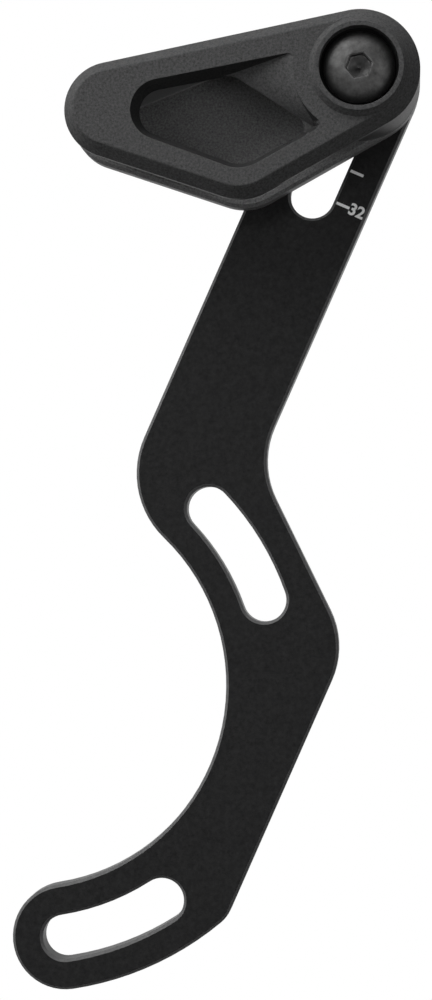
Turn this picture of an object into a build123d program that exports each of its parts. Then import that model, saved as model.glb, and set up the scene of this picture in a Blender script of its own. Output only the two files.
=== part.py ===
from build123d import *
import math
import os

# Bicycle chain guide for bottom-bracket tabs on a 73 mm bolt circle, sizes in millimetres.
# The origin is the bottom-bracket axis on the rear face of the backplate. X runs forward along
# the bike, Z runs up, and the drive side faces -Y. Heights are measured from the rear face
# towards the drive side. Directions on the arm are "along" (up the arm) and "across" (to its right).

# Backplate
plate_thickness = 4.0
tab_circle_radius = 36.5
tab_slot_width = 6.3
band_width = 15.0
upper_slot_start = 19.4
upper_slot_end = 43.4
lower_slot_start = -80.7
lower_slot_end = -57.1
arm_angle = 66.15
arm_width = 16.4
arm_across = 9.7
arm_slot_foot = 80.27
arm_slot_travel = 17.12
hip_line_angle = 26.1
shin_line_across = 40.0
knee_radius = 12.8
hollow_radius = 12.2
hip_radius = 11.8
heel_radius = 5.0
plate_edge_break = 0.4
rebate_depth = 2.0

# Chain cage: three circles wrapped by a belt give its outline, placed from the clamp bolt
boss_radius = 8.35
tail_radius = 6.62
belly_radius = 7.6
tail_back = 34.2
tail_drop = 5.0
belly_back = 16.5
belly_drop = 10.0
inner_wall = 3.0
outer_wall = 3.0
chain_gap = 8.0
bevel_run = 1.5
bevel_depth = 2.1
lead_in = 0.5
mould_radius = 0.35
roof_thickness = 2.5
land_slope_angle = 21.2
land_back = 31.0
land_drop = 3.14
land_height = 0.4

# Raised rim around the bolt head
rim_radius = 6.1
rim_foot_radius = 6.85
rim_height = 1.1
head_sink = 1.85

# Window in the outer wall, with a ramp that rises to a rounded crest beside the boss
window_end_radius = 4.2
window_nose_drop = 0.46
window_tail_back = 27.2
window_tail_drop = 5.42
window_belly_radius = 5.3
window_belly_back = 16.45
window_belly_drop = 8.3
window_boss_radius = 9.05
window_corner_radius = 0.8
window_draft = 18.0
opening_top_radius = 2.4
opening_low_radius = 1.4
ramp_back = 17.47
ramp_drop = 0.39
ramp_foot_length = 12.97
ramp_foot_angle = -33.3
ramp_lip = 0.4
crest_radius = 9.15
crest_fall = 0.4
crest_start_angle = 166.0
crest_end_angle = 232.0
ramp_section_shares = (-0.15, 0.2, 0.5, 0.8, 1.15)
ramp_overlap = 1.5
ramp_overshoot_ratio = 1.2

# Clamp bolt and barrel nut
thread_diameter = 5.0
bolt_length = 16.0
bolt_tip_chamfer = 0.5
head_diameter = 9.9
head_height = 1.95
head_edge = 0.3
head_crown_diameter = 4.0
head_bulge = 0.32
socket_size = 3.0
socket_turn_angle = 11.0
socket_depth = 1.2
socket_point_angle = 59.0
socket_mouth_size = 3.4
socket_mouth_angle = 45.0
barrel_diameter = 6.0
barrel_recess = 0.6
flange_width = 10.0
flange_tail = 5.0
flange_recess = 0.2
key_length = 7.5

# Clearances
slide_clearance = 0.1
face_clearance = 0.05
bolt_clearance = 0.25
head_clearance = 0.51
thread_clearance = 0.05
roof_clearance = 0.15
key_clearance = 0.3


def polar(radius, angle):
    """Point at a radius and an angle in degrees about the bottom-bracket axis."""
    turn = math.radians(angle)
    return Vector(radius * math.cos(turn), radius * math.sin(turn))


def arm_point(along, across):
    """Point given by its distances along and across the arm from the bottom-bracket axis."""
    return polar(along, arm_angle) + polar(across, arm_angle - 90)


def from_bolt(back, drop):
    """Point behind and below the clamp bolt."""
    return bolt_centre - Vector(back, drop)


def crossing(angle_a, distance_a, angle_b, distance_b):
    """Meeting point of two lines, each given by its normal's angle and its distance from the axis."""
    normal_a = polar(1, angle_a)
    normal_b = polar(1, angle_b)
    span = normal_a.X * normal_b.Y - normal_a.Y * normal_b.X
    x = (distance_a * normal_b.Y - distance_b * normal_a.Y) / span
    y = (normal_a.X * distance_b - normal_b.X * distance_a) / span
    return Vector(x, y)


def corner(sketch, point):
    """Vertex of a sketch that lies nearest to a point."""
    return sketch.vertices().sort_by_distance(point)[0]


def belt_normal(circle, next_circle):
    """Angle of the outward normal on a belt's straight run from one (centre, radius) circle to the next."""
    step = next_circle[0] - circle[0]
    heading = math.degrees(math.atan2(step.Y, step.X))
    return heading - math.degrees(math.acos((circle[1] - next_circle[1]) / step.length))


def belt(circles):
    """Line pulled tight around (centre, radius) circles, listed anticlockwise."""
    normals = [belt_normal(a, b) for a, b in zip(circles, circles[1:] + circles[:1])]
    for i, (centre, radius) in enumerate(circles):
        CenterArc(centre, radius, normals[i - 1], (normals[i] - normals[i - 1]) % 360)
        next_centre, next_radius = circles[(i + 1) % len(circles)]
        Line(centre + polar(radius, normals[i]), next_centre + polar(next_radius, normals[i]))


# Derived places
inner_edge_radius = tab_circle_radius - band_width / 2
outer_edge_radius = tab_circle_radius + band_width / 2
arm_left = arm_across - arm_width / 2
arm_right = arm_across + arm_width / 2
arm_slot_head = arm_slot_foot + arm_slot_travel
arm_slot_width = barrel_diameter + 2 * slide_clearance
bolt_centre = arm_point(arm_slot_head, arm_across)

inner_base = plate_thickness + face_clearance
inner_top = inner_base + inner_wall
outer_base = inner_top + chain_gap
outer_top = outer_base + outer_wall
rim_top = outer_top + rim_height
head_seat = rim_top - head_sink
flange_top = rebate_depth - face_clearance
key_base = flange_top + key_clearance
barrel_top = inner_top - barrel_recess

tail_centre = from_bolt(tail_back, tail_drop)
belly_centre = from_bolt(belly_back, belly_drop)
cage_circles = [(bolt_centre, boss_radius), (tail_centre, tail_radius), (belly_centre, belly_radius)]

# Outline that both halves of the cage share
with BuildSketch() as cage_outline:
    with BuildLine():
        belt(cage_circles)
    make_face()

# Backplate
knee_corner = arm_point(math.sqrt(inner_edge_radius**2 - arm_left**2), arm_left)
hollow_corner = crossing(arm_angle - 90, arm_right, hip_line_angle, outer_edge_radius)
hip_corner = crossing(arm_angle - 90, shin_line_across, hip_line_angle, outer_edge_radius)
heel_corner = arm_point(-math.sqrt(outer_edge_radius**2 - shin_line_across**2), shin_line_across)
heel_angle = math.degrees(math.atan2(heel_corner.Y, heel_corner.X))
knee_angle = math.degrees(math.atan2(knee_corner.Y, knee_corner.X))
tab_slots = [(upper_slot_start, upper_slot_end), (lower_slot_start, lower_slot_end)]
toe_centre = polar(tab_circle_radius, lower_slot_start)

with BuildPart() as backplate:
    with BuildSketch(Plane.XZ) as plate_face:
        with BuildLine():
            Line(knee_corner, arm_point(arm_slot_head, arm_left))
            CenterArc(bolt_centre, arm_width / 2, arm_angle + 90, -180)
            Line(arm_point(arm_slot_head, arm_right), hollow_corner)
            Line(hollow_corner, hip_corner)
            Line(hip_corner, heel_corner)
            CenterArc((0, 0), outer_edge_radius, heel_angle, lower_slot_start - heel_angle)
            CenterArc(toe_centre, band_width / 2, lower_slot_start, -180)
            CenterArc((0, 0), inner_edge_radius, lower_slot_start, knee_angle - lower_slot_start)
        make_face()
        fillet(corner(plate_face, knee_corner), knee_radius)
        fillet(corner(plate_face, hollow_corner), hollow_radius)
        fillet(corner(plate_face, hip_corner), hip_radius)
        fillet(corner(plate_face, heel_corner), heel_radius)
        for slot_start, slot_end in tab_slots:
            with BuildLine(mode=Mode.PRIVATE) as slot_line:
                CenterArc((0, 0), tab_circle_radius, slot_start, slot_end - slot_start)
            SlotArc(slot_line.edge(), tab_slot_width, mode=Mode.SUBTRACT)
        with BuildLine(mode=Mode.PRIVATE) as height_line:
            Line(arm_point(arm_slot_foot, arm_across), bolt_centre)
        SlotArc(height_line.edge(), arm_slot_width, mode=Mode.SUBTRACT)
    extrude(amount=plate_thickness)
    with BuildSketch(Plane.XZ):
        SlotArc(height_line.edge(), flange_width + 2 * slide_clearance)
    extrude(amount=rebate_depth, mode=Mode.SUBTRACT)
    broken_faces = backplate.faces().filter_by(Axis.Y).sort_by(Axis.Y)
    chamfer(broken_faces[0].edges() + broken_faces[-1].edges(), plate_edge_break)

# Inner half of the cage, with a low land under the roof and the key that runs in the arm slot
land_edge = from_bolt(land_back, land_drop)
land_normal = polar(1, land_slope_angle + 90)

with BuildPart() as inner_guide:
    with BuildSketch(Plane.XZ.offset(inner_base)):
        add(cage_outline.sketch)
    extrude(amount=inner_wall)
    chamfer(inner_guide.faces().sort_by(Axis.Y)[0].edges(), lead_in)
    with BuildSketch(Plane.XZ.offset(inner_top)):
        add(cage_outline.sketch)
        offset(amount=-lead_in, mode=Mode.REPLACE)
        split(bisect_by=Plane(land_edge, z_dir=land_normal))
        with Locations(bolt_centre):
            Circle(boss_radius + roof_clearance, mode=Mode.SUBTRACT)
    extrude(amount=land_height)
    with BuildSketch(Plane.XZ.offset(inner_base)):
        with BuildLine(mode=Mode.PRIVATE) as key_line:
            Line(arm_point(arm_slot_head - key_length, arm_across), bolt_centre)
        SlotArc(key_line.edge(), barrel_diameter)
    extrude(amount=key_base - inner_base)
    with BuildSketch(Plane.XZ.offset(inner_top)):
        with Locations(bolt_centre):
            Circle(barrel_diameter / 2 + slide_clearance)
    extrude(amount=key_base - inner_top, mode=Mode.SUBTRACT)

# Tools for the window: a drafted recess, the opening at its foot and the ramp up to the boss
window_nose = from_bolt(0, window_nose_drop)
window_tail = from_bolt(window_tail_back, window_tail_drop)
window_belly = from_bolt(window_belly_back, window_belly_drop)
window_circles = [
    (window_nose, window_end_radius),
    (window_tail, window_end_radius),
    (window_belly, window_belly_radius),
]
ramp_start = from_bolt(ramp_back, ramp_drop)
foot_normal = polar(1, ramp_foot_angle + 90)
foot_plane = Plane((ramp_start.X, 0, ramp_start.Y), z_dir=(foot_normal.X, 0, foot_normal.Y))
ramp_rise = outer_wall - ramp_lip

with BuildPart() as window_recess:
    with BuildSketch(Plane.XZ.offset(outer_top)) as window_face:
        with BuildLine():
            belt(window_circles)
        make_face()
        with Locations(bolt_centre):
            Circle(window_boss_radius, mode=Mode.SUBTRACT)
        window_corners = window_face.vertices().sort_by_distance(bolt_centre)[:2]
        fillet(window_corners, window_corner_radius)
    extrude(amount=-outer_wall, taper=window_draft)

with BuildPart() as window_opening:
    with BuildSketch(Plane.XZ.offset(outer_top)):
        with BuildLine():
            belt(window_circles)
        make_face()
    extrude(amount=-outer_wall, taper=window_draft)
    split(bisect_by=foot_plane, keep=Keep.BOTTOM)
    foot_wall = window_opening.faces().filter_by(foot_plane)[0]
    low_corner, top_corner = foot_wall.edges().sort_by(Axis.Y)[1:-1].sort_by(Axis.Z)
    fillet(top_corner, opening_top_radius)
    fillet(window_opening.edges().sort_by_distance(low_corner.center())[0], opening_low_radius)

with BuildPart() as window_ramp:
    for share in ramp_section_shares:
        foot = ramp_start + polar(share * ramp_foot_length, ramp_foot_angle)
        crest_angle = crest_start_angle + share * (crest_end_angle - crest_start_angle)
        crest = bolt_centre + polar(crest_radius - share * crest_fall, crest_angle)
        heading = (crest - foot).normalized()
        reach = ramp_overshoot_ratio * (crest - foot).length
        climb = ramp_overshoot_ratio * ramp_rise
        section_plane = Plane(
            (foot.X, -outer_base - ramp_lip, foot.Y),
            x_dir=(heading.X, 0, heading.Y),
            z_dir=(heading.Y, 0, -heading.X),
        )
        with BuildSketch(section_plane):
            with BuildLine():
                Polyline((-ramp_overlap, 0), (0, 0), (reach, climb), (-ramp_overlap, climb), close=True)
            make_face()
    loft()
    add(window_recess.part, mode=Mode.INTERSECT)

# Outer half of the cage: bevelled wall, clamp boss, roof over the chain and raised rim
roof_normal = polar(1, belt_normal(cage_circles[0], cage_circles[1]))
roof_edge = bolt_centre + roof_normal * (boss_radius - roof_thickness)
roof_base = inner_top + land_height + roof_clearance

with BuildPart() as outer_guide:
    with BuildSketch(Plane.XZ.offset(outer_base)):
        add(cage_outline.sketch)
    extrude(amount=outer_wall - bevel_depth)
    with BuildSketch(Plane.XZ.offset(outer_top - bevel_depth)):
        add(cage_outline.sketch)
    extrude(amount=bevel_depth, taper=math.degrees(math.atan2(bevel_run, bevel_depth)))
    add(window_opening.part, mode=Mode.SUBTRACT)
    add(window_ramp.part, mode=Mode.SUBTRACT)
    fillet(outer_guide.faces().sort_by(Axis.Y)[0].outer_wire().edges(), mould_radius)
    with BuildSketch(Plane.XZ.offset(roof_base)):
        add(cage_outline.sketch)
        split(bisect_by=Plane(roof_edge, z_dir=roof_normal))
    extrude(amount=outer_base - roof_base)
    with BuildSketch(Plane.XZ.offset(inner_top)):
        with Locations(bolt_centre):
            Circle(boss_radius)
    extrude(amount=chain_gap)
    with BuildSketch(Plane.XZ.offset(outer_top)):
        with Locations(bolt_centre):
            Circle(rim_foot_radius)
    extrude(amount=rim_height, taper=math.degrees(math.atan2(rim_foot_radius - rim_radius, rim_height)))
    with BuildSketch(Plane.XZ.offset(rim_top)):
        with Locations(bolt_centre):
            Circle(head_diameter / 2 + head_clearance)
    extrude(amount=-head_sink, mode=Mode.SUBTRACT)
    with BuildSketch(Plane.XZ.offset(head_seat)):
        with Locations(bolt_centre):
            Circle(thread_diameter / 2 + bolt_clearance)
    extrude(amount=inner_top - head_seat, mode=Mode.SUBTRACT)

# Clamp bolt, turned about its own axis, with a hexagon socket that ends in a drill point
bolt_plane = Plane((bolt_centre.X, -head_seat, bolt_centre.Y), x_dir=(1, 0, 0), z_dir=(0, 0, -1))
thread_radius = thread_diameter / 2
head_radius = head_diameter / 2
crown_radius = head_crown_diameter / 2
bolt_axis = Axis((bolt_centre.X, 0, bolt_centre.Y), (0, 1, 0))
socket_floor = head_height - socket_depth
point_depth = socket_size / 2 / math.tan(math.radians(socket_point_angle))
mouth_depth = (socket_mouth_size - socket_size) / 2 / math.tan(math.radians(socket_mouth_angle))

with BuildPart() as clamp_bolt:
    with BuildSketch(bolt_plane):
        with BuildLine():
            Polyline(
                (crown_radius, head_height),
                (0, head_height),
                (0, -bolt_length),
                (thread_radius - bolt_tip_chamfer, -bolt_length),
                (thread_radius, bolt_tip_chamfer - bolt_length),
                (thread_radius, 0),
                (head_radius, 0),
                (head_radius, head_edge),
            )
            SagittaArc((head_radius, head_edge), (crown_radius, head_height), -head_bulge)
        make_face()
    revolve(axis=bolt_axis)
    with BuildSketch(bolt_plane):
        with BuildLine():
            Polyline(
                (0, socket_floor),
                (socket_size / 2, socket_floor),
                (0, socket_floor - point_depth),
                close=True,
            )
        make_face()
    revolve(axis=bolt_axis, mode=Mode.SUBTRACT)
    with BuildSketch(Plane.XZ.offset(head_seat + head_height)):
        with Locations(bolt_centre):
            RegularPolygon(socket_size / 2, 6, major_radius=False, rotation=socket_turn_angle)
    extrude(amount=-socket_depth, mode=Mode.SUBTRACT)
    with BuildSketch(Plane.XZ.offset(head_seat + head_height)):
        with Locations(bolt_centre):
            RegularPolygon(socket_mouth_size / 2, 6, major_radius=False, rotation=socket_turn_angle)
    extrude(amount=-mouth_depth, taper=socket_mouth_angle, mode=Mode.SUBTRACT)

# Barrel nut: an oblong flange in the rear rebate and a barrel through the arm slot
with BuildPart() as barrel_nut:
    with BuildSketch(Plane.XZ.offset(flange_top)):
        with BuildLine(mode=Mode.PRIVATE) as flange_line:
            Line(arm_point(arm_slot_head - flange_tail, arm_across), bolt_centre)
        SlotArc(flange_line.edge(), flange_width)
    extrude(amount=flange_recess - flange_top)
    with BuildSketch(Plane.XZ.offset(flange_top)):
        with Locations(bolt_centre):
            Circle(barrel_diameter / 2)
    extrude(amount=barrel_top - flange_top)
    with BuildSketch(Plane.XZ.offset(flange_recess)):
        with Locations(bolt_centre):
            Circle(thread_diameter / 2 + thread_clearance)
    extrude(amount=barrel_top - flange_recess, mode=Mode.SUBTRACT)

# Pieces
pieces = {
    "backplate": backplate,
    "inner_guide": inner_guide,
    "outer_guide": outer_guide,
    "clamp_bolt": clamp_bolt,
    "barrel_nut": barrel_nut,
}
os.makedirs("parts", exist_ok=True)
for name, piece in pieces.items():
    piece.part.label = name
    export_step(piece.part, f"parts/{name}.step")
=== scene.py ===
import math

import bpy
from mathutils import Matrix, Vector


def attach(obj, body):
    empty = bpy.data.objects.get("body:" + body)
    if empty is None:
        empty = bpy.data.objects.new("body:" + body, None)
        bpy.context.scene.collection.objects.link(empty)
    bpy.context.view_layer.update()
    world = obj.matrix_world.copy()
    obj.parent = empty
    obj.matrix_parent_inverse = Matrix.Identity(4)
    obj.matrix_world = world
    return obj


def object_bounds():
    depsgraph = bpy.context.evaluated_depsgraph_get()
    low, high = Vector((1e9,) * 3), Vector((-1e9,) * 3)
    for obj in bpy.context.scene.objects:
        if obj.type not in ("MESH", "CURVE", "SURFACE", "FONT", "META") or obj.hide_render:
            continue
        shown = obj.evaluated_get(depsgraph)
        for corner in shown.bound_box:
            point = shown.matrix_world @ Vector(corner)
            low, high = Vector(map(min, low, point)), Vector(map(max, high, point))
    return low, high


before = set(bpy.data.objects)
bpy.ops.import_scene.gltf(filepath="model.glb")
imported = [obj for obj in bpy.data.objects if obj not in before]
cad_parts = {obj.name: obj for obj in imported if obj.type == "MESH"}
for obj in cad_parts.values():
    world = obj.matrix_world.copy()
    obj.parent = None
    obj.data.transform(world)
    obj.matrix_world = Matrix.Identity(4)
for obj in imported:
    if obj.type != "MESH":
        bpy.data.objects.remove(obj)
cad_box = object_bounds()
scene = bpy.context.scene
mm = 0.001
white = (1, 1, 1, 1)

# Places on the part, as in the CAD source
arm_angle = math.radians(66.15)
arm_across = 9.7 * mm
arm_slot_foot = 80.27 * mm
plate_thickness = 4.0 * mm
along_arm = Vector((math.cos(arm_angle), 0, math.sin(arm_angle)))
across_arm = Vector((math.sin(arm_angle), 0, -math.cos(arm_angle)))
bolt_axis = (48.25 * mm, 0, 85.15 * mm)
head_bore = 5.46 * mm
land_top = 7.40 * mm

# Printed scale. A mark's outline is in shares of its length and width, with its outer corners cut.
mark_heights = (0.5 * mm, 5.47 * mm)
mark_start = 3.52 * mm
mark_length = 2.0 * mm
mark_width = 0.4 * mm
mark_outline = ((0, -0.5), (0.97, -0.5), (1, -0.4), (1, 0.4), (0.97, 0.5), (0, 0.5))
ink_thickness = 0.01 * mm
number_text = "32"
number_height = 1.70 * mm
number_weight = 0.07 * mm
number_across = 6.645 * mm
number_up = 0.46 * mm
figure_share = 0.73  # a figure's height as a share of the font's size

# Camera
camera_place = Vector((54.98, -348.62, 20.28)) * mm
camera_aim = Vector((27.576, -4.0, 26.309)) * mm
camera_lens = 87.43
camera_sensor = 36
camera_near = 0.01

# Floor
floor_height = -0.6
floor_size = 4.0
floor_grey = 0.6
floor_roughness = 0.9
floor_glow = 0.8

# Lamps: name, bearing from the front (right is positive), elevation, distance, diameter, power
lights = (
    ("top_key", -38, 56, 0.5, 0.5, 0.48),
    ("key", -44, 33, 0.5, 0.4, 0.19),
    ("left", -85, 5, 0.5, 0.3, 0.09),
    ("low_left", -28, -4, 0.7, 0.4, 0.07),
    ("side", 65, 8, 0.9, 0.5, 0.06),
    ("right", 42, -9, 0.7, 0.3, 0.12),
)
light_spread = math.radians(70)

# Room: light levels in front of the object and behind it, and where one turns into the other along Y
room_level = 0.01
sweep_level = 0.9
sweep_start = 0.72
sweep_full = 0.95


def grey(level):
    return (level, level, level)


class Shader:
    """Node tree of one material, with short calls for the nodes that its finish needs."""

    # Agreement of the rounded normal with the true one, at an edge and where the face is flat again
    edge_agreement = 0.78
    flat_agreement = 0.99

    def __init__(self, name):
        self.material = bpy.data.materials.new(name)
        self.material.use_nodes = True
        self.tree = self.material.node_tree
        self.bsdf = self.tree.nodes["Principled BSDF"]
        self.place = self.node("ShaderNodeTexCoord").outputs["Object"]

    def node(self, kind, **values):
        made = self.tree.nodes.new(kind)
        for key, value in values.items():
            setattr(made, key, value)
        return made

    def join(self, out, into):
        self.tree.links.new(out, into)

    def noise(self, size, detail, rough=0.55):
        """Noise with features of about the given size in metres."""
        made = self.node("ShaderNodeTexNoise")
        made.inputs["Scale"].default_value = 1 / size
        made.inputs["Detail"].default_value = detail
        made.inputs["Roughness"].default_value = rough
        self.join(self.place, made.inputs["Vector"])
        return made.outputs["Fac"]

    def spread(self, fac, low, high, start=0.3, end=0.7):
        """Map a value between start and end onto a range of numbers. The defaults suit noise."""
        made = self.node("ShaderNodeMapRange")
        made.inputs["From Min"].default_value = start
        made.inputs["From Max"].default_value = end
        made.inputs["To Min"].default_value = low
        made.inputs["To Max"].default_value = high
        self.join(fac, made.inputs["Value"])
        return made.outputs["Result"]

    def ramp(self, fac, low, high, start=0.3, end=0.7):
        """Map a noise value onto a run between two colours."""
        made = self.node("ShaderNodeValToRGB")
        made.color_ramp.elements[0].position = start
        made.color_ramp.elements[0].color = (*low, 1)
        made.color_ramp.elements[1].position = end
        made.color_ramp.elements[1].color = (*high, 1)
        self.join(fac, made.inputs["Fac"])
        return made.outputs["Color"]

    def distance(self, axis):
        """Distance from an axis that runs along Y."""
        flat = self.node("ShaderNodeVectorMath", operation="MULTIPLY")
        flat.inputs[1].default_value = (1, 0, 1)
        self.join(self.place, flat.inputs[0])
        away = self.node("ShaderNodeVectorMath", operation="DISTANCE")
        away.inputs[1].default_value = axis
        self.join(flat.outputs["Vector"], away.inputs[0])
        return away.outputs["Value"]

    def depth(self):
        """Place along Y."""
        axes = self.node("ShaderNodeSeparateXYZ")
        self.join(self.place, axes.inputs["Vector"])
        return axes.outputs["Y"]

    def mixed(self, share, colour, other):
        """Blend from a colour made by nodes to a plain one."""
        made = self.node("ShaderNodeMix", data_type="RGBA")
        made.inputs["B"].default_value = (*other, 1)
        self.join(share, made.inputs["Factor"])
        self.join(colour, made.inputs["A"])
        return made.outputs["Result"]

    def leaning(self, lean, reach):
        """One on faces whose normal has the given share along Y, within reach: 0 is a wall, 1 a flat."""
        normal = self.node("ShaderNodeSeparateXYZ")
        self.join(self.node("ShaderNodeNewGeometry").outputs["True Normal"], normal.inputs["Vector"])
        share = self.node("ShaderNodeMath", operation="ABSOLUTE")
        self.join(normal.outputs["Y"], share.inputs[0])
        near = self.node("ShaderNodeMath", operation="COMPARE")
        near.inputs[1].default_value = lean
        near.inputs[2].default_value = reach
        self.join(share.outputs["Value"], near.inputs[0])
        return near.outputs["Value"]

    def times(self, share, other):
        made = self.node("ShaderNodeMath", operation="MULTIPLY")
        self.join(share, made.inputs[0])
        self.join(other, made.inputs[1])
        return made.outputs["Value"]

    def edges(self, radius):
        """One along sharp edges, falling to nothing a radius away from them."""
        turn = self.node("ShaderNodeVectorMath", operation="DOT_PRODUCT")
        self.join(self.rounded(radius), turn.inputs[0])
        self.join(self.node("ShaderNodeNewGeometry").outputs["Normal"], turn.inputs[1])
        return self.spread(
            turn.outputs["Value"], low=1, high=0, start=self.edge_agreement, end=self.flat_agreement
        )

    def bump(self, height, distance, strength, under=None):
        made = self.node("ShaderNodeBump")
        made.inputs["Distance"].default_value = distance
        made.inputs["Strength"].default_value = strength
        self.join(height, made.inputs["Height"])
        if under is not None:
            self.join(under, made.inputs["Normal"])
        return made.outputs["Normal"]

    def rounded(self, radius):
        """Normal that rolls over sharp edges, as a moulded or tumbled edge does."""
        made = self.node("ShaderNodeBevel", samples=6)
        made.inputs["Radius"].default_value = radius
        return made.outputs["Normal"]

    def finish(self, colour, roughness, normal, specular, metallic=0.0):
        self.join(colour, self.bsdf.inputs["Base Color"])
        self.join(roughness, self.bsdf.inputs["Roughness"])
        self.join(normal, self.bsdf.inputs["Normal"])
        self.bsdf.inputs["Specular IOR Level"].default_value = specular
        self.bsdf.inputs["Metallic"].default_value = metallic
        return self.material


def anodised_black():
    """Satin black anodising, mottled and blasted, worn pale along its broken edges, the pale band also a
    painted highlight for the light those edges catch.
    """
    s = Shader("black_anodised_aluminium")
    cloud = s.noise(size=9 * mm, detail=3)
    mottle = s.noise(size=0.7 * mm, detail=6, rough=0.85)
    blast = s.noise(size=0.12 * mm, detail=2)
    colour = s.ramp(mottle, low=(0.0095, 0.0095, 0.0098), high=(0.0295, 0.0295, 0.0298))
    # Pale band on the edge chamfers: worn anodising, and also a painted highlight standing in for the
    # light the broken edges catch.
    edge_wear_and_highlight = s.times(s.leaning(lean=0.7, reach=0.25), s.spread(mottle, low=0.55, high=1.0))
    colour = s.mixed(edge_wear_and_highlight, colour, other=(0.15, 0.15, 0.151))
    roughness = s.spread(cloud, low=0.32, high=0.38)
    normal = s.bump(blast, distance=0.004 * mm, strength=0.5, under=s.rounded(radius=0.08 * mm))
    return s.finish(colour, roughness, normal, specular=0.05)


def moulded_nylon():
    """Fine-grained nylon, smoother on walls, with painted shade on the window's drafted walls and in the
    bolt's bore, and a painted highlight along its sharp edges.
    """
    s = Shader("moulded_nylon")
    bore_inner = head_bore - 0.03 * mm
    bore_outer = head_bore + 0.02 * mm
    grain = s.noise(size=0.34 * mm, detail=5, rough=0.8)
    cloud = s.noise(size=6 * mm, detail=3)
    drawn = s.leaning(lean=0, reach=0.25)
    drafted = s.leaning(lean=0.31, reach=0.05)
    colour = s.ramp(grain, low=(0.034, 0.034, 0.0345), high=(0.118, 0.118, 0.1185))
    # Painted shade: the window's drafted walls are darkened towards near black.
    colour = s.mixed(s.spread(drafted, low=0, high=0.7, start=0, end=1), colour, other=grey(0.010))
    # Painted highlight: a paler colour along the sharp edges.
    colour = s.mixed(s.edges(radius=0.1 * mm), colour, other=grey(0.13))
    # Painted shade: the wall of the bolt's bore is darkened to near black.
    painted_bore_shade = s.spread(s.distance(bolt_axis), low=1, high=0, start=bore_inner, end=bore_outer)
    colour = s.mixed(painted_bore_shade, colour, other=grey(0.008))
    smoothed = s.times(
        s.spread(drawn, low=1, high=0.68, start=0, end=1),
        s.spread(drafted, low=1, high=0.5, start=0, end=1),
    )
    roughness = s.times(s.spread(cloud, low=0.54, high=0.62), smoothed)
    normal = s.bump(grain, distance=0.012 * mm, strength=0.6, under=s.rounded(radius=0.12 * mm))
    return s.finish(colour, roughness, normal, specular=0.02)


def grained_nylon():
    """Coarse-grained nylon, in one even grey on the land that stands proud towards the chain, with a
    painted highlight along its sharp edges.
    """
    s = Shader("grained_nylon")
    land_fade = 0.05 * mm
    grain = s.noise(size=0.28 * mm, detail=5, rough=0.8)
    cloud = s.noise(size=5 * mm, detail=3)
    colour = s.ramp(grain, low=(0.035, 0.035, 0.0355), high=(0.220, 0.220, 0.2205))
    proud = s.spread(s.depth(), low=1, high=0, start=-land_top, end=land_fade - land_top)
    colour = s.mixed(proud, colour, other=grey(0.13))
    # Painted highlight: a bright grey along the sharp edges.
    colour = s.mixed(s.edges(radius=0.16 * mm), colour, other=grey(0.32))
    roughness = s.spread(cloud, low=0.46, high=0.56)
    normal = s.bump(grain, distance=0.03 * mm, strength=0.7, under=s.rounded(radius=0.12 * mm))
    return s.finish(colour, roughness, normal, specular=0.16)


def black_oxide_steel():
    """Blotchy black oxide, scuffed along the edges and round the socket."""
    s = Shader("black_oxide_steel")
    cloud = s.noise(size=1.3 * mm, detail=5, rough=0.7)
    grain = s.noise(size=0.1 * mm, detail=2)
    scuff = s.noise(size=0.9 * mm, detail=4, rough=0.6)
    colour = s.ramp(cloud, low=(0.070, 0.0698, 0.0695), high=(0.032, 0.0318, 0.0316))
    worn = s.times(s.edges(radius=0.5 * mm), s.spread(scuff, low=0, high=1, start=0.42, end=0.62))
    colour = s.mixed(worn, colour, other=(0.20, 0.199, 0.198))
    roughness = s.spread(cloud, low=0.46, high=0.56)
    normal = s.bump(grain, distance=0.003 * mm, strength=0.4, under=s.rounded(radius=0.08 * mm))
    return s.finish(colour, roughness, normal, specular=0.5, metallic=1.0)


def turned_steel():
    """Black steel with fine turning rings about the bolt's axis."""
    s = Shader("turned_black_steel")
    ring_size = 2.5 * mm
    turning = s.node("ShaderNodeMapping", vector_type="POINT")
    turning.inputs["Location"].default_value = (-bolt_axis[0], 0, -bolt_axis[2])
    s.join(s.place, turning.inputs["Vector"])
    rings = s.node("ShaderNodeTexWave", wave_type="RINGS", rings_direction="Y")
    rings.inputs["Scale"].default_value = 1 / ring_size
    rings.inputs["Distortion"].default_value = 1.5
    rings.inputs["Detail"].default_value = 3.0
    s.join(turning.outputs["Vector"], rings.inputs["Vector"])
    cloud = s.noise(size=2 * mm, detail=4)
    colour = s.ramp(cloud, low=(0.036, 0.0358, 0.0357), high=(0.054, 0.0538, 0.0536))
    roughness = s.spread(cloud, low=0.32, high=0.42)
    under = s.rounded(radius=0.1 * mm)
    normal = s.bump(rings.outputs["Fac"], distance=0.004 * mm, strength=0.5, under=under)
    return s.finish(colour, roughness, normal, specular=0.5, metallic=1.0)


def white_ink():
    """Printed ink that covers a little unevenly."""
    s = Shader("white_ink")
    cover = s.noise(size=0.25 * mm, detail=3)
    colour = s.ramp(cover, low=grey(0.88), high=grey(0.96))
    roughness = s.spread(cover, low=0.45, high=0.6)
    normal = s.bump(cover, distance=0.003 * mm, strength=0.4)
    return s.finish(colour, roughness, normal, specular=0.4)


def background_rays(tree):
    """One for rays that show the background: from the camera, and by way of metal, gloss or glass."""
    path = tree.nodes.new("ShaderNodeLightPath")
    seen = path.outputs["Is Camera Ray"]
    for kind in ("Is Glossy Ray", "Is Transmission Ray"):
        either = tree.nodes.new("ShaderNodeMath")
        either.operation = "MAXIMUM"
        tree.links.new(seen, either.inputs[0])
        tree.links.new(path.outputs[kind], either.inputs[1])
        seen = either.outputs[0]
    return seen


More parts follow.
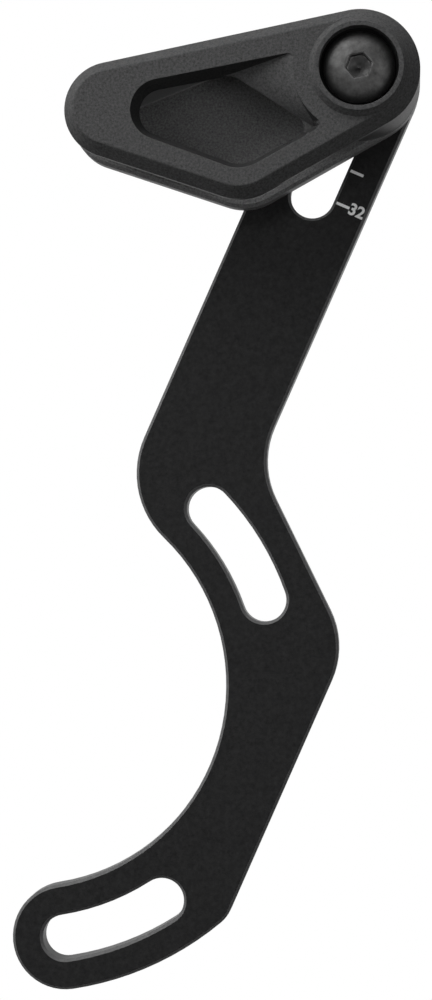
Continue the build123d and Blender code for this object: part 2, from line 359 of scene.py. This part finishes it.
# Finishes of the CAD pieces
finishes = {
    "backplate": anodised_black(),
    "outer_guide": moulded_nylon(),
    "inner_guide": grained_nylon(),
    "clamp_bolt": black_oxide_steel(),
    "barrel_nut": turned_steel(),
}
for name, finish in finishes.items():
    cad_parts[name].material_slots[0].material = finish

# Printed scale beside the arm slot: two marks and the number of chainring teeth at the lower one
ink = white_ink()
scale_foot = along_arm * arm_slot_foot + across_arm * arm_across + Vector((0, -plate_thickness, 0))
print_axes = Matrix((across_arm, along_arm, (0, -1, 0))).transposed().to_4x4()
print_place = Matrix.Translation(scale_foot) @ print_axes

marks = bpy.data.meshes.new("scale_marks")
corners = []
faces = []
sides = len(mark_outline)
for height in mark_heights:
    foot = range(len(corners), len(corners) + sides)
    top = range(foot.stop, foot.stop + sides)
    for lift in (0, ink_thickness):
        for x, y in mark_outline:
            corners.append((mark_start + x * mark_length, height + y * mark_width, lift))
    faces += [tuple(reversed(foot)), tuple(top)]
    faces += [(foot[i - 1], foot[i], top[i], top[i - 1]) for i in range(sides)]
marks.from_pydata(corners, [], faces)
marks.materials.append(ink)
mark_piece = bpy.data.objects.new("scale_marks", marks)
mark_piece.matrix_world = print_place
scene.collection.objects.link(mark_piece)
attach(mark_piece, "backplate")

number = bpy.data.curves.new("scale_number", "FONT")
number.body = number_text
number.align_x = "CENTER"
number.align_y = "CENTER"
number.size = number_height / figure_share
number.offset = number_weight
number.extrude = ink_thickness
number.materials.append(ink)
number_piece = bpy.data.objects.new("scale_number", number)
number_piece.matrix_world = print_place @ Matrix.Translation((number_across, number_up, 0))
scene.collection.objects.link(number_piece)
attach(number_piece, "backplate")

# Pale floor
floor_mesh = bpy.data.meshes.new("floor")
half = floor_size / 2
floor_corners = [(x * half, y * half, floor_height) for x, y in ((-1, -1), (1, -1), (1, 1), (-1, 1))]
floor_mesh.from_pydata(floor_corners, [], [(0, 1, 2, 3)])
floor = bpy.data.objects.new("floor", floor_mesh)
scene.collection.objects.link(floor)

paper = bpy.data.materials.new("pale_floor")
paper.use_nodes = True
nodes = paper.node_tree.nodes
links = paper.node_tree.links
matte = nodes["Principled BSDF"]
matte.inputs["Base Color"].default_value = (*grey(floor_grey), 1)
matte.inputs["Roughness"].default_value = floor_roughness
glow = nodes.new("ShaderNodeEmission")
glow.inputs["Color"].default_value = white
share = nodes.new("ShaderNodeMath")
share.operation = "MULTIPLY"
share.inputs[1].default_value = floor_glow
mix = nodes.new("ShaderNodeMixShader")
links.new(background_rays(paper.node_tree), share.inputs[0])
links.new(share.outputs[0], mix.inputs["Fac"])
links.new(matte.outputs[0], mix.inputs[1])
links.new(glow.outputs[0], mix.inputs[2])
links.new(mix.outputs[0], nodes["Material Output"].inputs["Surface"])
floor_mesh.materials.append(paper)

# World: white where it is seen, and as light a pale sweep behind the object and a dim room in front
world = bpy.data.worlds.new("studio")
scene.world = world
world.use_nodes = True
nodes = world.node_tree.nodes
links = world.node_tree.links
nodes.clear()
sky = nodes.new("ShaderNodeBackground")
sky.inputs["Color"].default_value = white
out = nodes.new("ShaderNodeOutputWorld")
place = nodes.new("ShaderNodeTexCoord")
axes = nodes.new("ShaderNodeSeparateXYZ")
sweep = nodes.new("ShaderNodeMapRange")
sweep.interpolation_type = "SMOOTHSTEP"
sweep.inputs["From Min"].default_value = sweep_start
sweep.inputs["From Max"].default_value = sweep_full
sweep.inputs["To Min"].default_value = room_level
sweep.inputs["To Max"].default_value = sweep_level
level = nodes.new("ShaderNodeMix")
level.data_type = "FLOAT"
level.inputs["B"].default_value = 1.0
links.new(place.outputs["Generated"], axes.inputs["Vector"])
links.new(axes.outputs["Y"], sweep.inputs["Value"])
links.new(background_rays(world.node_tree), level.inputs["Factor"])
links.new(sweep.outputs["Result"], level.inputs["A"])
links.new(level.outputs["Result"], sky.inputs["Strength"])
links.new(sky.outputs[0], out.inputs["Surface"])

# Lamps round the middle of the part
middle = (cad_box[0] + cad_box[1]) / 2
for name, bearing, elevation, distance, size, power in lights:
    lamp = bpy.data.lights.new(name, "AREA")
    lamp.shape = "DISK"
    lamp.size = size
    lamp.energy = power
    lamp.spread = light_spread
    turn = math.radians(bearing)
    rise = math.radians(elevation)
    towards = Vector((math.sin(turn) * math.cos(rise), -math.cos(turn) * math.cos(rise), math.sin(rise)))
    holder = bpy.data.objects.new(name, lamp)
    holder.location = middle + towards * distance
    holder.rotation_euler = (-towards).to_track_quat("-Z", "Y").to_euler()
    scene.collection.objects.link(holder)

# Camera at the photograph's viewing angle
lens = bpy.data.cameras.new("camera")
lens.lens = camera_lens
lens.sensor_width = camera_sensor
lens.clip_start = camera_near
camera = bpy.data.objects.new("camera", lens)
camera.location = camera_place
camera.rotation_euler = (camera_aim - camera_place).to_track_quat("-Z", "Y").to_euler()
scene.collection.objects.link(camera)
scene.camera = camera
scene.view_settings.view_transform = "Standard"
